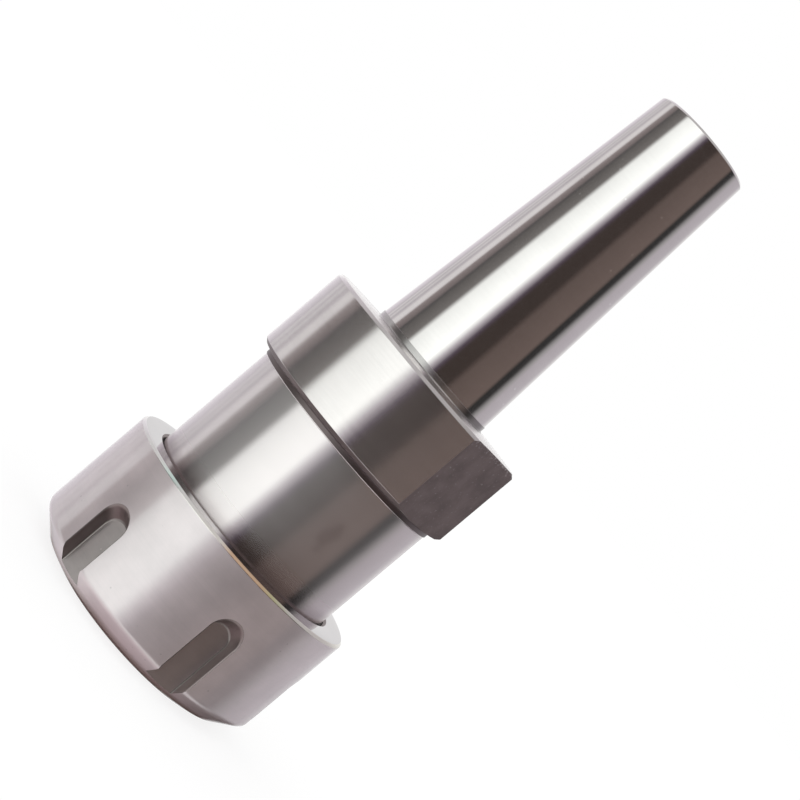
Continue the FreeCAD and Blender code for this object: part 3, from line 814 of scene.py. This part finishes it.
def nut():
    """The clamping nut: spanner slots, rounded front, inner thread and eccentric lip."""
    gap = BEVEL_GAP / math.cos(BEVEL_ANGLE)
    mouth = bevel_radius(NUT_MOUTH_CHAMFER) + gap
    land = FLANGE_RADIUS + gap
    lip = GROOVE_RADIUS - LIP_STOCK
    piece = turned_piece("slotted_nut", [
        (mouth + NUT_MOUTH_CHAMFER, 0.0, 0.15),
        (NUT_FACE_EDGE, 0.0, 1.2),
        (NUT_CONE_FOOT, NUT_LEAD_HEIGHT, 1.0),
        (NUT_RADIUS, NUT_CORNER_HEIGHT, 1.8),
        (NUT_RADIUS, NUT_LENGTH - NUT_REAR_CHAMFER, 0.15),
        (NUT_RADIUS - NUT_REAR_CHAMFER, NUT_LENGTH, 0.15),
        (COUNTERBORE_RADIUS + COUNTERBORE_CHAMFER, NUT_LENGTH, 0.1),
        (COUNTERBORE_RADIUS, NUT_LENGTH - COUNTERBORE_CHAMFER, 0.0),
        (COUNTERBORE_RADIUS, NUT_THREAD_END, 0.0),
        (NUT_BORE, NUT_THREAD_END, 0.0),
        (NUT_BORE, RELIEF_END, 0.0),
        (RELIEF_RADIUS, RELIEF_END, 0.0),
        (RELIEF_RADIUS, LIP_END, 0.0),
        (lip, LIP_END, 0.0),
        (lip, LIP_FRONT, 0.0),
        (land, LIP_FRONT, 0.0),
        (land, BEVEL_END, 0.0),
        (mouth, NUT_MOUTH_CHAMFER, 0.1),
    ], True, SATIN_NUT)
    cut_with(piece, lip_tool(), 1, 0.0, SATIN_NUT)
    cut_with(piece, slot_tool(SHORT_SLOT_END), SLOT_PAIRS, math.pi, SATIN_NUT)
    cut_with(piece, slot_tool(LONG_SLOT_END), SLOT_PAIRS, 0.0, SATIN_NUT)
    add_thread(piece, "nut_thread", NUT_BORE, THREAD_DEPTH, THREAD_PITCH, RELIEF_END, NUT_THREAD_END)
    finish_surface(piece, [SATIN_NUT, MILLED_FLOOR, SHADED_MILLED_WALL, SHADED_MILLED_CORNER, CUT_THREAD, NUT_REAR,
                           NUT_EDGE], nut_finish)
    piece.data.transform(Matrix.Rotation(NUT_TURNED_BY, 4, "Z"))
    return piece


def nut_finish(radius, middle, normal):
    """Number of the finish of one face of the nut."""
    satin, slot_floor, shaded_wall, shaded_corner, thread, rear, edge = range(7)
    near, slight, rounding = 0.05, 0.03, 0.1
    if middle.z > NUT_LENGTH - NUT_REAR_CHAMFER - near:
        # The counterbore takes the darkened wall finish: painted shade in the gap round the body.
        if radius < COUNTERBORE_RADIUS + COUNTERBORE_CHAMFER - near:
            return shaded_wall
        slanted = 0.1 < normal.z < 0.95
        return edge if slanted and radius > NUT_RADIUS - 2 * NUT_REAR_CHAMFER else rear
    if radius < RELIEF_RADIUS + near and middle.z > NUT_MOUTH_CHAMFER + rounding:
        return thread
    depth = depth_in_slot(middle)
    sideways = abs(normal.x * middle.y - normal.y * middle.x) / radius
    end_wall = middle.z > NUT_CORNER_HEIGHT + 1 and normal.z < -slight
    turned = sideways < slight and depth > SLOT_FLOOR + SLOT_FILLET and not end_wall
    if turned or depth < SLOT_FLOOR - near:
        return satin
    if depth < SLOT_FLOOR + TOUCHING:
        return slot_floor
    return shaded_corner if depth < SLOT_FLOOR + SLOT_FILLET else shaded_wall


def collet():
    """The spring collet, slit from both ends."""
    mouth = COLLET_BORE + COLLET_BORE_CHAMFER
    taper_end = COLLET_END - COLLET_REAR_CHAMFER
    piece = turned_piece("spring_collet", [
        (mouth, COLLET_FRONT, 0.1),
        (bevel_radius(COLLET_FRONT), COLLET_FRONT, 0.15),
        (FLANGE_RADIUS, BEVEL_END, 0.1),
        (FLANGE_RADIUS, FLANGE_END, 0.1),
        (GROOVE_RADIUS, FLANGE_END, 0.2),
        (GROOVE_RADIUS, GROOVE_END, 0.2),
        (COLLET_RADIUS, GROOVE_END, 0.1),
        (taper_radius(taper_end), taper_end, 0.2),
        (taper_radius(COLLET_END) - COLLET_REAR_CHAMFER, COLLET_END, 0.1),
        (mouth, COLLET_END, 0.1),
        (COLLET_BORE, COLLET_END - COLLET_BORE_CHAMFER, 0.1),
        (COLLET_BORE, COLLET_FRONT + COLLET_BORE_CHAMFER, 0.1),
    ], True, GROUND_COLLET)
    past = 1.0
    half = SLIT_WIDTH / 2
    inside, outside = COLLET_BORE / 2, COLLET_RADIUS + past
    step = math.tau / SLIT_COUNT
    front = block("front_slit_tool", (inside, -half, COLLET_FRONT - past), (outside, half, FRONT_SLIT_END))
    cut_with(piece, front, SLIT_COUNT, step / 2, GROUND_COLLET)
    rear = block("rear_slit_tool", (inside, -half, REAR_SLIT_START), (outside, half, COLLET_END + past))
    cut_with(piece, rear, SLIT_COUNT, step, GROUND_COLLET)
    finish_surface(piece, [GROUND_COLLET, SAWN_SLIT], collet_finish)
    return piece


def collet_finish(radius, middle, normal):
    """Number of the finish of one face of the collet."""
    ground, sawn = range(2)
    radial = abs(normal.x * middle.x + normal.y * middle.y) / radius
    return sawn if radial < 0.5 and abs(normal.z) < 0.5 else ground


for make, body, node_name, slot in (
        (holder, "holder", "holder_body", "ground_steel"),
        (nut, "nut", "clamping_nut", "satin_steel"),
        (collet, "collet", "collet", "collet_steel")):
    made = make()
    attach(made, body)
    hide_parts(node_name)


# Stage: camera, studio and floor

CAMERA_AZIMUTH = math.radians(30.4)
CAMERA_TILT = math.radians(2.83)
CAMERA_ROLL = math.radians(49.81)
CAMERA_DISTANCE = 318.8
CAMERA_SIDE = 0.184
CAMERA_HEIGHT = 73.91
CAMERA_LENS = 86.9
CAMERA_SENSOR = 36.0
CAMERA_NEAR = 10.0


def photo_camera():
    """The camera of the photo, fitted to the object's outline."""
    camera = new_object("camera", bpy.data.cameras.new("camera"))
    camera.data.sensor_width = CAMERA_SENSOR
    camera.data.lens = CAMERA_LENS
    camera.data.clip_start = CAMERA_NEAR * MM
    place = Vector((CAMERA_SIDE, -CAMERA_DISTANCE, CAMERA_HEIGHT)) * MM
    camera.matrix_world = (Matrix.Rotation(CAMERA_AZIMUTH, 4, "Z") @ Matrix.Translation(place)
                           @ Matrix.Rotation(math.pi / 2 - CAMERA_TILT, 4, "X")
                           @ Matrix.Rotation(CAMERA_ROLL, 4, "Z"))
    bpy.context.scene.camera = camera


# What stands round the object, by the angle from the camera, positive to its right: white screens and dark
# flags. Each one is (angle, brightness, tint).
NEUTRAL = (1.0, 1.0, 1.0)
IVORY = (0.98, 1.04, 1.01)
LILAC = (1.0, 0.96, 1.02)
BROWN = (1.1, 0.97, 0.96)
OLIVE = (1.02, 0.99, 0.95)
WARM = (1.2, 0.94, 0.84)
PURPLE = (1.12, 0.88, 1.15)
STUDIO = [
    (-180, 1.00, NEUTRAL),
    (-166, 1.00, NEUTRAL),
    (-158, 0.82, LILAC),
    (-144, 0.70, LILAC),
    (-138, 0.58, LILAC),
    (-134, 0.77, NEUTRAL),
    (-129, 0.53, LILAC),
    (-125, 0.73, NEUTRAL),
    (-119, 0.50, LILAC),
    (-112, 0.80, NEUTRAL),
    (-104, 0.78, NEUTRAL),
    (-100, 0.26, BROWN),
    (-90, 0.18, BROWN),
    (-86, 0.09, NEUTRAL),
    (-82, 0.13, OLIVE),
    (-70, 0.17, OLIVE),
    (-63, 0.20, OLIVE),
    (-56, 1.08, IVORY),
    (-17, 1.40, IVORY),
    (-8, 0.55, LILAC),
    (0, 0.09, PURPLE),
    (6, 0.045, WARM),
    (28, 0.045, WARM),
    (38, 0.11, WARM),
    (80, 0.14, WARM),
    (86, 0.035, NEUTRAL),
    (95, 0.04, NEUTRAL),
    (105, 0.37, NEUTRAL),
    (113, 0.50, LILAC),
    (142, 0.54, LILAC),
    (162, 0.80, NEUTRAL),
    (180, 1.05, NEUTRAL),
]
# What the steel sees above and below the walls. Each colour comes in over a range of the direction's rise or
# fall, which is 0 when level and 1 when upright.
CEILING, CEILING_RISE = (0.55, 0.55, 0.55), (0.7, 0.9)
LOW, LOW_FALL = (0.95, 0.93, 0.93), (0.5, 0.8)
UNDER, UNDER_FALL = (0.60, 0.49, 0.51), (0.85, 0.97)
# Behind the object to the right, the steel sees dark ground.
BEHIND, BEHIND_FALL = (0.05, 0.035, 0.03), (0.3, 0.45)
BEHIND_DEPTH = (0.2, 0.5)
BEHIND_SIDE = (-0.35, -0.1)


def studio():
    """The studio that metal reflects. The camera sees white, and everything else is lit evenly."""
    world = bpy.data.worlds.new("studio")
    bpy.context.scene.world = world
    world.use_nodes = True
    world.cycles.sampling_method = "NONE"
    tree = world.node_tree
    tree.nodes.clear()
    direction = node(tree, "ShaderNodeTexCoord").outputs["Generated"]
    turned = node(tree, "ShaderNodeVectorRotate", {"Vector": direction, "Angle": -CAMERA_AZIMUTH},
                  rotation_type="Z_AXIS").outputs[0]
    walls = angle_ramp(tree, turned, [
        (degrees, tuple(level * channel for channel in tint)) for degrees, level, tint in STUDIO])
    part = split(tree, turned)
    fall = maths(tree, "MULTIPLY", part["Z"], -1.0)
    low = blended(tree, walls, LOW, between(tree, fall, *LOW_FALL))
    under = blended(tree, low, UNDER, between(tree, fall, *UNDER_FALL))
    far = maths(tree, "MULTIPLY", between(tree, part["Y"], *BEHIND_DEPTH), between(tree, fall, *BEHIND_FALL))
    right = between(tree, part["X"], *BEHIND_SIDE)
    behind = blended(tree, under, BEHIND, maths(tree, "MULTIPLY", far, right))
    over = blended(tree, behind, CEILING, between(tree, part["Z"], *CEILING_RISE))
    seen = node(tree, "ShaderNodeLightPath").outputs
    plain = node(tree, "ShaderNodeBackground", {"Color": (1.0, 1.0, 1.0, 1.0)}).outputs[0]
    room = node(tree, "ShaderNodeBackground", {"Color": over}).outputs[0]
    mix = node(tree, "ShaderNodeMixShader", {0: seen["Is Glossy Ray"], 1: plain, 2: room}).outputs[0]
    node(tree, "ShaderNodeOutputWorld", {"Surface": mix})


FLOOR_RADIUS = 6000.0
FLOOR_CORNERS = 96
FLOOR_GREY = 0.2
FLOOR_GLOW = 0.82


def floor():
    """A plain white floor that keeps the object's shadow. Metal sees the studio through it."""
    shape = bmesh.new()
    bmesh.ops.create_circle(shape, cap_ends=True, segments=FLOOR_CORNERS, radius=FLOOR_RADIUS * MM)
    ground = object_from("floor", shape)
    material, tree = new_finish("white_floor")
    seen = node(tree, "ShaderNodeLightPath").outputs
    paper = node(tree, "ShaderNodeBsdfDiffuse", {"Color": (*(FLOOR_GREY,) * 3, 1.0)}).outputs[0]
    glow = node(tree, "ShaderNodeEmission", {
        "Color": (1.0, 1.0, 1.0, 1.0), "Strength": FLOOR_GLOW}).outputs[0]
    lit = node(tree, "ShaderNodeAddShader", {0: paper, 1: glow}).outputs[0]
    shown = node(tree, "ShaderNodeMixShader", {0: seen["Is Camera Ray"], 1: paper, 2: lit}).outputs[0]
    clear = node(tree, "ShaderNodeBsdfTransparent").outputs[0]
    mix = node(tree, "ShaderNodeMixShader", {0: seen["Is Glossy Ray"], 1: shown, 2: clear}).outputs[0]
    node(tree, "ShaderNodeOutputMaterial", {"Surface": mix})
    ground.data.materials.append(material)


photo_camera()
studio()
floor()
bpy.context.scene.view_settings.view_transform = "Standard"
